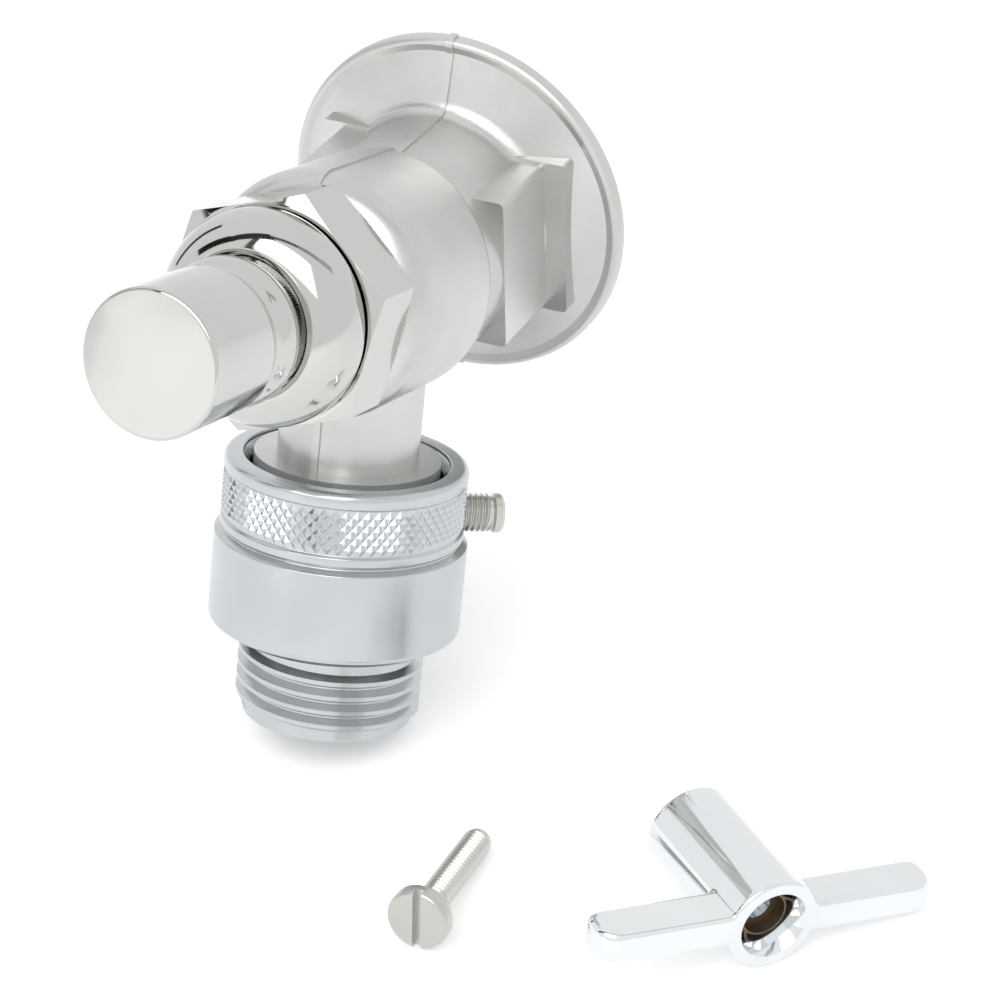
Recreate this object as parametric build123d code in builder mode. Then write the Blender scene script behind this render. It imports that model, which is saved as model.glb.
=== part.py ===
from build123d import *

import os
from math import asin, atan2, cos, hypot, radians, sin, sqrt

os.makedirs("parts", exist_ok=True)

# Sillcock for an outside wall, with its loose T-shaped key and key screw.
# The origin is the centre of the flange's back face, on the inlet's axis.
# +Y runs into the wall and +Z is up. All lengths are in millimetres.

# Clearances
face_gap = 0.05
running_gap = 0.05
drop_in_gap = 0.1
thread_gap = 0.1

# Layout of the axes
tilt = 15.0
stem_crossing = 21.6
outlet_ahead = 8.77

# Wall flange and neck, round the inlet's axis
flange_r = 26.4
bead_r = 1.0
flange_valley_drop = 0.3
flange_root_y = 4.8
neck_r = 16.1
neck_len = 29.0
neck_cove = 2.6
wrench_block_w = 32.6
wrench_block_h = 22.8
wrench_block_len = 18.6
foot_pad_w = 39.2
foot_pad_h = 23.6
foot_pad_len = 5.2
block_round = 0.8
inlet_thread_r = 9.9
inlet_thread_len = 15.0
passage_r = 8.4
passage_len = 19.5

# Tilted valve chamber, round the stem's axis
barrel_r = 17.4
barrel_back = 6.0
barrel_back_round = 1.6
barrel_front = 17.0
shoulder_round = 4.0
barrel_face_r = 14.5
chamber_r = 9.8
bonnet_bore_r = 13.05
gasket_seat = 6.3

# Outlet nozzle with its hose thread
nozzle_r = 10.1
nozzle_len = 26.3
hose_thread_r = 13.35
hose_thread_len = 12.1
outlet_bore_r = 6.4
thread_chamfer = 0.8

# Parting ridge that the two halves of the mould leave
ridge_w = 1.1
ridge_h = 0.3

# Renewable seat
seat_r = 7.35
seat_setback = 5.0
seat_len = 5.8
seat_hex_af = 8.0
seat_hex_depth = 3.5
seat_bore_r = 3.9
seat_lip_w = 0.8
seat_lip_h = 0.7

# Seat washer, its screw and its holder
washer_r = 7.0
washer_t = 3.15
washer_head_recess = 1.05
washer_screw_head_r = 3.4
washer_screw_head_t = 1.65
washer_screw_r = 1.65
washer_screw_grip = 3.2
washer_screw_slot = 0.9
holder_wall = 0.95
holder_cup_depth = 1.75
holder_web_t = 2.1
holder_hub_r = 4.6
holder_hub_len = 5.0
holder_lip_t = 0.8

# Spindle
button_r = 3.0
button_h = 2.1
button_neck_r = 2.2
spindle_root_r = 3.6
spindle_thread_r = 4.85
spindle_thread_start = 8.0
spindle_thread_len = 9.0
spindle_thread_lead = 2.54
spindle_turns = 1.5
stem_r = 3.95
spline_start = 39.5
spline_len = 12.0
spline_teeth = 12
spline_groove = 0.4
key_screw_hole_r = 2.2
key_screw_hole_depth = 11.0
o_ring_minor_r = 0.65
o_ring_squeeze_gap = 0.03
o_ring_first = 25.0
o_ring_pitch = 4.5

# Cartridge that carries the spindle
cartridge_flange_r = 12.6
cartridge_flange_t = 3.15
cartridge_neck_r = 8.6
cartridge_tip_r = 8.35
cartridge_nose_r = 7.9
cartridge_nose_len = 5.8
cartridge_thread_len = 14.0
gasket_t = 0.8
gasket_inner_r = 9.9

# Hexagonal bonnet nut and its domed collar
nut_af = 30.2
nut_turn = 78.0
nut_t = 9.6
nut_chamfer_r = 15.3
nut_chamfer_rise = 1.1
nut_stand_off = 0.5
nut_thread_r = 12.95
nut_recess_depth = 2.1
collar_spigot_r = 12.3
collar_r = 14.8
collar_rim_t = 1.45
collar_mid_r = 13.6
collar_mid_rise = 5.05
collar_top_r = 10.4
collar_rise = 7.15
collar_pocket_r = 9.75
collar_pocket_depth = 1.3

# Closed stem cap
cap_r = 9.87
cap_len = 24.07
cap_inner_r = 8.0
cap_face_t = 1.57
cap_skirt_r = 9.3
cap_skirt_len = 2.0
cap_bead_r = 10.1
cap_bead_len = 4.8
cap_waist_r = 9.1
cap_waist_rise = 8.0
cap_barrel_rise = 9.8
cap_edge = 0.45

# Hose-thread vacuum breaker, round the outlet's axis
breaker_top_gap = 0.2
breaker_r = 17.45
breaker_grip_len = 11.1
breaker_lower_r = 18.2
breaker_len = 25.9
breaker_mouth_r = 14.8
breaker_mouth_depth = 1.4
breaker_edge = 1.25
breaker_groove_w = 1.2
breaker_groove_depth = 0.6
breaker_foot_r = 16.0
breaker_foot_rise = 1.3
hose_washer_t = 2.35
hose_washer_bore_r = 7.5
web_t = 2.0
web_port_r = 6.0
cavity_r = 14.7
seal_r = 14.3
seal_t = 1.3
outlet_flange_r = 14.4
outlet_flange_t = 2.4
outlet_neck_r = 12.4
outlet_neck_len = 6.6
outlet_thread_r = 13.49
outlet_thread_len = 12.4
outlet_through_r = 8.6
poppet_cavity_r = 9.4
poppet_cavity_len = 8.8
spider_t = 2.0
spider_hub_r = 3.0
spider_rib_w = 1.8
spider_ribs = 3
air_port_r = 0.8
air_port_ring_r = 10.9
air_port_drop = 5.2
air_ports = 6
snap_ring_outer_r = 15.2
snap_ring_w = 2.5
snap_ring_t = 1.0
snap_ring_opening = 9.0
poppet_r = 7.6
poppet_t = 1.5
poppet_stem_r = 1.5
poppet_stem_len = 11.4
spring_r = 5.4
spring_wire_r = 0.4
spring_turns = 4.0

# Break-off set screw in the breaker's grip
set_screw_r = 2.85
set_screw_turn = 37.0
set_screw_drop = 8.0
set_screw_reach = 23.2
set_screw_chamfer = 0.4

# Loose T-shaped key, which lies on the surface that the outlet stands on
key_front_x = 79.0
key_front_y = -69.0
key_turn = 51.3
key_sleeve_r = 6.7
key_sleeve_len = 23.4
key_span = 51.0
key_arm_t = 4.9
key_arm_depth = 6.6
key_arm_front_round = 4.2
key_arm_back_round = 2.0
key_arm_edge = 1.2
key_counterbore_r = 4.65
key_counterbore_depth = 5.0
key_socket_depth = 12.0
key_spline_len = 5.0
key_relief_r = 4.5

# Loose slotted screw that holds the key on the spindle
key_screw_x = 34.72
key_screw_y = -85.7
key_screw_turn = 4.2
key_screw_head_r = 4.39
key_screw_head_t = 2.3
key_screw_head_edge = 0.5
key_screw_r = 2.12
key_screw_len = 22.4
key_screw_slot_w = 1.2
key_screw_slot_depth = 1.2

# Directions, planes and axes that the pieces are placed by
side = Vector(1, 0, 0)
up = Vector(0, 0, 1)
stem_dir = Vector(0, -cos(radians(tilt)), sin(radians(tilt)))
outlet_dir = Vector(0, -sin(radians(tilt)), -cos(radians(tilt)))
centre = Vector(0, -stem_crossing, 0) + stem_dir * outlet_ahead
stem_axis = Axis(centre, stem_dir)
outlet_axis = Axis(centre, outlet_dir)
inlet_axis = Axis((0, 0, 0), (0, -1, 0))
stem_profile = Plane(centre, x_dir=side, z_dir=outlet_dir)
outlet_profile = Plane(centre, x_dir=side, z_dir=-stem_dir)
inlet_profile = Plane((0, 0, 0), x_dir=side, z_dir=-up)


def across_stem(distance):
    """Plane square to the stem, at a distance in front of the outlet's axis."""
    return Plane(centre + stem_dir * distance, x_dir=side, z_dir=stem_dir)


def across_outlet(distance):
    """Plane square to the outlet, at a distance below the stem's axis."""
    return Plane(centre + outlet_dir * distance, x_dir=side, z_dir=outlet_dir)


def across_inlet(distance):
    """Plane square to the inlet, at a distance in front of the wall."""
    return Plane((0, -distance, 0), x_dir=side, z_dir=(0, -1, 0))


# Places along the stem
seat_face = -seat_setback
seat_lip_top = seat_face + seat_lip_h
seat_lip_inner_r = seat_hex_af / sqrt(3) + drop_in_gap
seat_bore_back = seat_face - seat_len - drop_in_gap - passage_r * sin(radians(tilt))
washer_front = seat_lip_top + face_gap
washer_back = washer_front + washer_t
washer_bearing = washer_front + washer_head_recess
holder_rim = washer_back - holder_cup_depth
holder_cup_r = washer_r + running_gap
holder_r = holder_cup_r + holder_wall
holder_top = washer_back + holder_web_t
hub_top = holder_top + holder_hub_len
socket_top = hub_top - holder_lip_t
socket_floor = socket_top - button_h - 2 * face_gap
button_bottom = socket_floor + face_gap
button_top = button_bottom + button_h
gasket_back = gasket_seat + face_gap
cartridge_back = gasket_back + gasket_t + face_gap
flange_front = cartridge_back + cartridge_flange_t
nut_end = flange_front + face_gap
nut_back = barrel_front + nut_stand_off
nut_front = nut_back + nut_t
collar_back = nut_front + face_gap
collar_spigot_end = nut_front - nut_recess_depth + face_gap
collar_top = collar_back + collar_rise
pocket_floor = collar_top - collar_pocket_depth
cartridge_tip = pocket_floor + 4 * face_gap
nose_end = cartridge_tip + cartridge_nose_len
cap_back = cartridge_tip + 4 * face_gap
cap_front = cap_back + cap_len
thread_bore_end = cartridge_back + cartridge_thread_len
stem_bore_r = stem_r + running_gap
o_ring_r = stem_bore_r - o_ring_squeeze_gap - o_ring_minor_r
o_ring_groove_r = o_ring_r - o_ring_minor_r - face_gap
o_ring_groove_half = o_ring_minor_r + drop_in_gap
spindle_end = spline_start + spline_len
spindle_rise = spindle_turns * spindle_thread_lead
cartridge_bore_r = spindle_thread_r + running_gap

# Places along the outlet
hose_thread_end = nozzle_len + hose_thread_len
breaker_top = nozzle_len + breaker_top_gap
breaker_thread_r = hose_thread_r + thread_gap
hose_washer_top = hose_thread_end + face_gap
web_top = hose_washer_top + hose_washer_t + face_gap
web_bottom = web_top + web_t
seal_top = web_bottom + face_gap
seal_bottom = seal_top + seal_t
outlet_flange_top = seal_bottom + face_gap
outlet_flange_bottom = outlet_flange_top + outlet_flange_t
snap_ring_top = outlet_flange_bottom + face_gap
snap_ring_bottom = snap_ring_top + snap_ring_t
outlet_thread_top = outlet_flange_bottom + outlet_neck_len
outlet_end = outlet_thread_top + outlet_thread_len
breaker_bottom = breaker_top + breaker_len
poppet_top = seal_bottom + face_gap
poppet_bottom = poppet_top + poppet_t
spider_top = outlet_flange_top + poppet_cavity_len
spider_bottom = spider_top + spider_t
air_port_level = outlet_flange_top + air_port_drop
set_screw_level = breaker_top + set_screw_drop

# Height of the surface below the outlet, where the loose pieces lie
outlet_end_r = outlet_thread_r - thread_chamfer
floor_z = (centre + outlet_dir * outlet_end).Z - outlet_end_r * sin(radians(tilt))


def casting_shape(skin):
    """Outside of the casting, grown outwards by a skin."""
    bead = bead_r + skin
    bead_x = flange_r - bead_r
    valley = 2 * bead_r - flange_valley_drop + skin
    arc_top = sqrt(shoulder_round**2 - (barrel_face_r - barrel_r + shoulder_round) ** 2)
    shoulder_start = barrel_front - arc_top
    edge_r = barrel_r + skin
    with BuildPart() as casting:
        with BuildSketch(inlet_profile) as flange_and_neck:
            with BuildLine():
                Polyline((bead_x + bead, bead_r), (bead_x + bead, 0), (0, 0), (0, neck_len), (neck_r + skin, neck_len),
                         (neck_r + skin, flange_root_y + skin), (bead_x - bead_r, valley), (bead_x, bead_r + bead))
                RadiusArc((bead_x, bead_r + bead), (bead_x + bead, bead_r), bead)
            make_face()
            root = Vector(inlet_profile.from_local_coords((neck_r + skin, flange_root_y + skin)))
            fillet(flange_and_neck.vertices().sort_by_distance(root)[0], neck_cove - skin)
        revolve(axis=inlet_axis)
        with BuildSketch(stem_profile):
            with BuildLine():
                Polyline((edge_r, shoulder_start), (edge_r, -barrel_back + barrel_back_round))
                RadiusArc((edge_r, -barrel_back + barrel_back_round), (edge_r - barrel_back_round, -barrel_back),
                          barrel_back_round)
                Polyline((edge_r - barrel_back_round, -barrel_back), (0, -barrel_back), (0, barrel_front),
                         (barrel_face_r, barrel_front))
                ThreePointArc((barrel_face_r, barrel_front),
                              (edge_r - shoulder_round * (1 - cos(radians(45))),
                               shoulder_start + shoulder_round * sin(radians(45))),
                              (edge_r, shoulder_start))
            make_face()
        revolve(axis=stem_axis)
        with BuildSketch(across_outlet(0)):
            Circle(nozzle_r + skin)
        extrude(amount=nozzle_len)
    return casting.part


def regular_hex(width):
    """Circumradius of a hexagon that measures a width across its flats."""
    return width / sqrt(3)


# Cast valve body: flange, wrench block, tilted barrel and threaded nozzle
casting_plain = casting_shape(0.0)
casting_grown = casting_shape(ridge_h)

with BuildPart() as parting_ridge:
    add(casting_grown)
    with BuildSketch(Plane.YZ):
        Rectangle(8 * barrel_r, 8 * barrel_r)
    extrude(amount=ridge_w / 2, both=True, mode=Mode.INTERSECT)

with BuildPart() as valve_body:
    add(casting_plain)
    with BuildSketch(across_inlet(0)):
        RectangleRounded(wrench_block_w, wrench_block_h, block_round)
    extrude(amount=wrench_block_len)
    with BuildSketch(across_inlet(0)):
        RectangleRounded(foot_pad_w, foot_pad_h, block_round)
    extrude(amount=foot_pad_len)
    add(parting_ridge.part)
    with BuildSketch(across_outlet(nozzle_len)):
        Circle(hose_thread_r)
    extrude(amount=hose_thread_len)
    chamfer(valve_body.faces().sort_by(outlet_axis)[-1].edges(), thread_chamfer)
    with BuildSketch(inlet_profile):
        Polygon((0, 0), (inlet_thread_r, 0), (inlet_thread_r, inlet_thread_len), (passage_r, inlet_thread_len),
                (passage_r, passage_len), (0, passage_len), align=None)
    revolve(axis=inlet_axis, mode=Mode.SUBTRACT)
    with BuildSketch(stem_profile):
        Polygon((0, seat_bore_back), (seat_r + running_gap, seat_bore_back), (seat_r + running_gap, seat_face),
                (chamber_r, seat_face), (chamber_r, gasket_seat), (bonnet_bore_r, gasket_seat),
                (bonnet_bore_r, barrel_front), (0, barrel_front), align=None)
    revolve(axis=stem_axis, mode=Mode.SUBTRACT)
    with BuildSketch(across_outlet(0)):
        Circle(outlet_bore_r)
    extrude(amount=hose_thread_end, mode=Mode.SUBTRACT)
valve_body.part.label = "valve_body"
export_step(valve_body.part, "parts/valve_body.step")

# Renewable seat ring, with a hexagon for the seat wrench
with BuildPart() as seat_ring:
    with BuildSketch(stem_profile):
        Polygon((seat_bore_r, seat_face - seat_len), (seat_r, seat_face - seat_len), (seat_r, seat_face),
                (seat_lip_inner_r + seat_lip_w, seat_face), (seat_lip_inner_r + seat_lip_w, seat_lip_top),
                (seat_lip_inner_r, seat_lip_top), (seat_lip_inner_r, seat_face), (seat_bore_r, seat_face),
                align=None)
    revolve(axis=stem_axis)
    with BuildSketch(across_stem(seat_face)):
        RegularPolygon(regular_hex(seat_hex_af), 6)
    extrude(amount=-seat_hex_depth, mode=Mode.SUBTRACT)
seat_ring.part.label = "seat_ring"
export_step(seat_ring.part, "parts/seat_ring.step")

# Rubber washer that closes on the seat
with BuildPart() as seat_washer:
    with BuildSketch(across_stem(washer_front)):
        Circle(washer_r)
        Circle(washer_screw_r + drop_in_gap, mode=Mode.SUBTRACT)
    extrude(amount=washer_t)
    with BuildSketch(across_stem(washer_front)):
        Circle(washer_screw_head_r + drop_in_gap)
    extrude(amount=washer_head_recess - face_gap, mode=Mode.SUBTRACT)
seat_washer.part.label = "seat_washer"
export_step(seat_washer.part, "parts/seat_washer.step")

# Screw that holds the washer in its cup
with BuildPart() as washer_screw:
    with BuildSketch(across_stem(washer_bearing - face_gap)):
        Circle(washer_screw_head_r)
    extrude(amount=-washer_screw_head_t)
    with BuildSketch(across_stem(washer_bearing - face_gap)):
        Circle(washer_screw_r)
    extrude(amount=washer_back + washer_screw_grip - washer_bearing)
    with BuildSketch(across_stem(washer_bearing - face_gap - washer_screw_head_t)):
        Rectangle(3 * washer_screw_head_r, washer_screw_slot)
    extrude(amount=washer_screw_slot, mode=Mode.SUBTRACT)
washer_screw.part.label = "washer_screw"
export_step(washer_screw.part, "parts/washer_screw.step")

# Washer holder: a cup below, and a socket that swivels on the spindle's button
with BuildPart() as washer_holder:
    with BuildSketch(stem_profile):
        Polygon((0, washer_back), (holder_cup_r, washer_back), (holder_cup_r, holder_rim), (holder_r, holder_rim),
                (holder_r, holder_top), (holder_hub_r, holder_top), (holder_hub_r, hub_top),
                (button_neck_r + drop_in_gap, hub_top), (button_neck_r + drop_in_gap, socket_top),
                (button_r + running_gap, socket_top), (button_r + running_gap, socket_floor), (0, socket_floor),
                align=None)
    revolve(axis=stem_axis)
    with BuildSketch(across_stem(washer_back)):
        Circle(washer_screw_r + running_gap)
    extrude(amount=washer_screw_grip + drop_in_gap, mode=Mode.SUBTRACT)
washer_holder.part.label = "washer_holder"
export_step(washer_holder.part, "parts/washer_holder.step")

# Spindle: button, thread, two ring grooves and a splined end with a tapped hole
with BuildPart() as spindle:
    with BuildSketch(stem_profile):
        Polygon((0, button_bottom), (button_r, button_bottom), (button_r, button_top), (button_neck_r, button_top),
                (button_neck_r, hub_top + face_gap), (spindle_root_r, hub_top + face_gap),
                (spindle_root_r, spindle_thread_start), (spindle_thread_r, spindle_thread_start),
                (spindle_thread_r, spindle_thread_start + spindle_thread_len),
                (stem_r, spindle_thread_start + spindle_thread_len), (stem_r, spindle_end), (0, spindle_end),
                align=None)
    revolve(axis=stem_axis)
    for ring in range(2):
        with BuildSketch(across_stem(o_ring_first + ring * o_ring_pitch - o_ring_groove_half)):
            Circle(2 * stem_r)
            Circle(o_ring_groove_r, mode=Mode.SUBTRACT)
        extrude(amount=2 * o_ring_groove_half, mode=Mode.SUBTRACT)
    with BuildSketch(across_stem(spline_start)):
        with PolarLocations(stem_r, spline_teeth):
            Rectangle(spline_groove, spline_groove, rotation=45)
    extrude(amount=spline_len, mode=Mode.SUBTRACT)
    with BuildSketch(across_stem(spindle_end)):
        Circle(key_screw_hole_r)
    extrude(amount=-key_screw_hole_depth, mode=Mode.SUBTRACT)
spindle.part.label = "spindle"
export_step(spindle.part, "parts/spindle.step")

# Two rubber rings that seal the spindle in the cartridge
with BuildPart() as stem_o_rings:
    for ring in range(2):
        with BuildSketch(stem_profile):
            with Locations((o_ring_r, o_ring_first + ring * o_ring_pitch)):
                Circle(o_ring_minor_r)
        revolve(axis=stem_axis)
stem_o_rings.part.label = "stem_o_rings"
export_step(stem_o_rings.part, "parts/stem_o_rings.step")

# Cartridge: a flange on the gasket, the spindle's thread and a nose for the cap
with BuildPart() as cartridge_body:
    with BuildSketch(stem_profile):
        Polygon((cartridge_bore_r, cartridge_back), (cartridge_flange_r, cartridge_back),
                (cartridge_flange_r, flange_front), (cartridge_neck_r, flange_front), (cartridge_neck_r, nut_front),
                (cartridge_tip_r, nut_front), (cartridge_tip_r, cartridge_tip), (cartridge_nose_r, cartridge_tip),
                (cartridge_nose_r, nose_end), (stem_bore_r, nose_end), (stem_bore_r, thread_bore_end),
                (cartridge_bore_r, thread_bore_end), align=None)
    revolve(axis=stem_axis)
cartridge_body.part.label = "cartridge_body"
export_step(cartridge_body.part, "parts/cartridge_body.step")

# Fibre gasket below the cartridge's flange
with BuildPart() as cartridge_gasket:
    with BuildSketch(across_stem(gasket_back)):
        Circle(bonnet_bore_r - drop_in_gap)
        Circle(gasket_inner_r, mode=Mode.SUBTRACT)
    extrude(amount=gasket_t)
cartridge_gasket.part.label = "cartridge_gasket"
export_step(cartridge_gasket.part, "parts/cartridge_gasket.step")

# Hexagonal bonnet nut with both faces chamfered
with BuildPart() as bonnet_nut:
    with BuildSketch(across_stem(nut_back)):
        RegularPolygon(regular_hex(nut_af), 6, rotation=nut_turn)
    extrude(amount=nut_t)
    with BuildSketch(stem_profile):
        Polygon((0, nut_back), (nut_chamfer_r, nut_back),
                (nut_chamfer_r + 3 * nut_chamfer_rise, nut_back + nut_chamfer_rise),
                (nut_chamfer_r + 3 * nut_chamfer_rise, nut_front - nut_chamfer_rise), (nut_chamfer_r, nut_front),
                (0, nut_front), align=None)
    revolve(axis=stem_axis, mode=Mode.INTERSECT)
    with BuildSketch(across_stem(nut_end)):
        Circle(nut_thread_r)
    extrude(amount=nut_back - nut_end)
    with BuildSketch(across_stem(nut_end)):
        Circle(cartridge_neck_r + drop_in_gap)
    extrude(amount=nut_front - nut_end, mode=Mode.SUBTRACT)
    with BuildSketch(across_stem(nut_front)):
        Circle(collar_spigot_r + drop_in_gap)
    extrude(amount=-nut_recess_depth, mode=Mode.SUBTRACT)
bonnet_nut.part.label = "bonnet_nut"
export_step(bonnet_nut.part, "parts/bonnet_nut.step")

# Domed collar in front of the nut, with a pocket for the cap's skirt
with BuildPart() as bonnet_collar:
    with BuildSketch(stem_profile):
        with BuildLine():
            Polyline((collar_r, collar_back + collar_rim_t), (collar_r, collar_back), (collar_spigot_r, collar_back),
                     (collar_spigot_r, collar_spigot_end), (cartridge_tip_r + running_gap, collar_spigot_end),
                     (cartridge_tip_r + running_gap, pocket_floor), (collar_pocket_r, pocket_floor),
                     (collar_pocket_r, collar_top), (collar_top_r, collar_top))
            ThreePointArc((collar_top_r, collar_top), (collar_mid_r, collar_back + collar_mid_rise),
                          (collar_r, collar_back + collar_rim_t))
        make_face()
    revolve(axis=stem_axis)
    with BuildSketch(across_stem(collar_spigot_end)):
        Circle(cartridge_neck_r + drop_in_gap)
    extrude(amount=nut_front + face_gap - collar_spigot_end, mode=Mode.SUBTRACT)
bonnet_collar.part.label = "bonnet_collar"
export_step(bonnet_collar.part, "parts/bonnet_collar.step")

# Closed cap that covers the splined end, with a bead near its skirt
with BuildPart() as stem_cap:
    with BuildSketch(stem_profile):
        with BuildLine():
            bead_start = cap_back + cap_skirt_len
            bead_end = bead_start + cap_bead_len
            Polyline((cap_waist_r, cap_back + cap_waist_rise), (cap_skirt_r, bead_end))
            ThreePointArc((cap_skirt_r, bead_end), (cap_bead_r, (bead_start + bead_end) / 2),
                          (cap_skirt_r, bead_start))
            Polyline((cap_skirt_r, bead_start), (cap_skirt_r, cap_back), (cap_inner_r, cap_back),
                     (cap_inner_r, cap_front - cap_face_t), (0, cap_front - cap_face_t), (0, cap_front),
                     (cap_r - cap_edge, cap_front), (cap_r, cap_front - cap_edge), (cap_r, cap_back + cap_barrel_rise),
                     (cap_waist_r, cap_back + cap_waist_rise))
        make_face()
    revolve(axis=stem_axis)
stem_cap.part.label = "stem_cap"
export_step(stem_cap.part, "parts/stem_cap.step")

# Vacuum breaker's body: grip above, web with its port, and a cavity open below
screw_out = side * cos(radians(set_screw_turn)) - stem_dir * sin(radians(set_screw_turn))
screw_seat = Plane(centre + outlet_dir * set_screw_level, x_dir=outlet_dir, z_dir=screw_out)
groove_level = breaker_top + breaker_grip_len
cavity_groove_r = snap_ring_outer_r + drop_in_gap
rim_round = min(breaker_edge, (breaker_r - breaker_mouth_r) / 2)

with BuildPart() as breaker_body:
    with BuildSketch(outlet_profile):
        with BuildLine():
            Polyline((breaker_r, breaker_top + rim_round), (breaker_r, groove_level - breaker_groove_w / 2),
                     (breaker_r - breaker_groove_depth, groove_level), (breaker_lower_r,
                     groove_level + breaker_groove_w / 2), (breaker_lower_r, breaker_bottom - breaker_foot_rise),
                     (breaker_foot_r, breaker_bottom), (cavity_r, breaker_bottom), (cavity_r, web_bottom),
                     (web_port_r, web_bottom), (web_port_r, web_top), (breaker_thread_r, web_top),
                     (breaker_thread_r, breaker_top + breaker_mouth_depth), (breaker_mouth_r, breaker_top),
                     (breaker_r - rim_round, breaker_top))
            RadiusArc((breaker_r - rim_round, breaker_top), (breaker_r, breaker_top + rim_round), rim_round)
        make_face()
    revolve(axis=outlet_axis)
    with BuildSketch(across_outlet(snap_ring_top - face_gap)):
        Circle(cavity_groove_r)
    extrude(amount=snap_ring_t + 2 * face_gap, mode=Mode.SUBTRACT)
    with BuildSketch(screw_seat):
        Circle(set_screw_r + running_gap)
    extrude(amount=2 * breaker_r, mode=Mode.SUBTRACT)
breaker_body.part.label = "breaker_body"
export_step(breaker_body.part, "parts/breaker_body.step")

# Set screw, its head broken off, which bears on the hose thread
with BuildPart() as break_off_screw:
    with BuildSketch(screw_seat.offset(breaker_thread_r)):
        Circle(set_screw_r)
    extrude(amount=set_screw_reach - breaker_thread_r)
    chamfer(break_off_screw.faces().sort_by(Axis(screw_seat.origin, screw_out))[-1].edges(), set_screw_chamfer)
break_off_screw.part.label = "break_off_screw"
export_step(break_off_screw.part, "parts/break_off_screw.step")

# Flat washer between the hose thread and the breaker's web
with BuildPart() as hose_washer:
    with BuildSketch(across_outlet(hose_washer_top)):
        Circle(breaker_thread_r - drop_in_gap)
        Circle(hose_washer_bore_r, mode=Mode.SUBTRACT)
    extrude(amount=hose_washer_t)
hose_washer.part.label = "hose_washer"
export_step(hose_washer.part, "parts/hose_washer.step")

# Rubber seal ring that lifts off the air ports when the supply fails
with BuildPart() as breaker_seal:
    with BuildSketch(across_outlet(seal_top)):
        Circle(seal_r)
        Circle(web_port_r, mode=Mode.SUBTRACT)
    extrude(amount=seal_t)
breaker_seal.part.label = "breaker_seal"
export_step(breaker_seal.part, "parts/breaker_seal.step")

# Breaker's outlet: flange with air ports, spider that guides the poppet, hose thread
with BuildPart() as breaker_outlet:
    with BuildSketch(outlet_profile):
        Polygon((poppet_cavity_r, outlet_flange_top), (outlet_flange_r, outlet_flange_top),
                (outlet_flange_r, outlet_flange_bottom), (outlet_neck_r, outlet_flange_bottom),
                (outlet_neck_r, outlet_thread_top), (outlet_thread_r, outlet_thread_top),
                (outlet_thread_r, outlet_end - thread_chamfer), (outlet_end_r, outlet_end),
                (outlet_through_r, outlet_end), (outlet_through_r, spider_top), (poppet_cavity_r, spider_top),
                align=None)
    revolve(axis=outlet_axis)
    with BuildSketch(across_outlet(spider_top)):
        Circle(spider_hub_r)
        for rib in range(spider_ribs):
            with Locations(Location((0, 0), 360 / spider_ribs * rib)):
                with Locations((outlet_through_r / 2, 0)):
                    Rectangle(outlet_through_r + face_gap, spider_rib_w)
        Circle(poppet_stem_r + drop_in_gap, mode=Mode.SUBTRACT)
    extrude(amount=spider_t)
    with BuildSketch(across_outlet(outlet_flange_top)):
        with PolarLocations(air_port_ring_r, air_ports):
            Circle(air_port_r)
    extrude(amount=air_port_drop, mode=Mode.SUBTRACT)
    for port in range(air_ports):
        turn = radians(360 / air_ports * port)
        port_out = side * cos(turn) - stem_dir * sin(turn)
        with BuildSketch(Plane(centre + outlet_dir * air_port_level + port_out * air_port_ring_r,
                               x_dir=outlet_dir, z_dir=port_out)):
            Circle(air_port_r)
        extrude(amount=outlet_neck_r, mode=Mode.SUBTRACT)
breaker_outlet.part.label = "breaker_outlet"
export_step(breaker_outlet.part, "parts/breaker_outlet.step")

# Split ring that keeps the outlet in the breaker's cavity
with BuildPart() as breaker_snap_ring:
    with BuildSketch(across_outlet(snap_ring_top)):
        Circle(snap_ring_outer_r)
        Circle(snap_ring_outer_r - snap_ring_w, mode=Mode.SUBTRACT)
        with Locations((0, snap_ring_outer_r)):
            Rectangle(snap_ring_opening, snap_ring_outer_r, mode=Mode.SUBTRACT)
    extrude(amount=snap_ring_t)
breaker_snap_ring.part.label = "breaker_snap_ring"
export_step(breaker_snap_ring.part, "parts/breaker_snap_ring.step")

# Poppet that closes the web's port from below
with BuildPart() as breaker_poppet:
    with BuildSketch(across_outlet(poppet_top)):
        Circle(poppet_r)
    extrude(amount=poppet_t)
    with BuildSketch(across_outlet(poppet_bottom)):
        Circle(poppet_stem_r)
    extrude(amount=poppet_stem_len)
breaker_poppet.part.label = "breaker_poppet"
export_step(breaker_poppet.part, "parts/breaker_poppet.step")

# Spring between the poppet and the spider
spring_len = spider_top - poppet_bottom - 2 * spring_wire_r - 2 * face_gap
spring_pitch = spring_len / spring_turns
spring_start = centre + outlet_dir * (poppet_bottom + spring_wire_r + face_gap)

with BuildPart() as breaker_spring:
    with BuildLine():
        coil = Helix(spring_pitch, spring_len, spring_r, center=spring_start, direction=outlet_dir)
    with BuildSketch(Plane(coil @ 0, z_dir=coil % 0)):
        Circle(spring_wire_r)
    sweep()
breaker_spring.part.label = "breaker_spring"
export_step(breaker_spring.part, "parts/breaker_spring.step")

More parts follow.
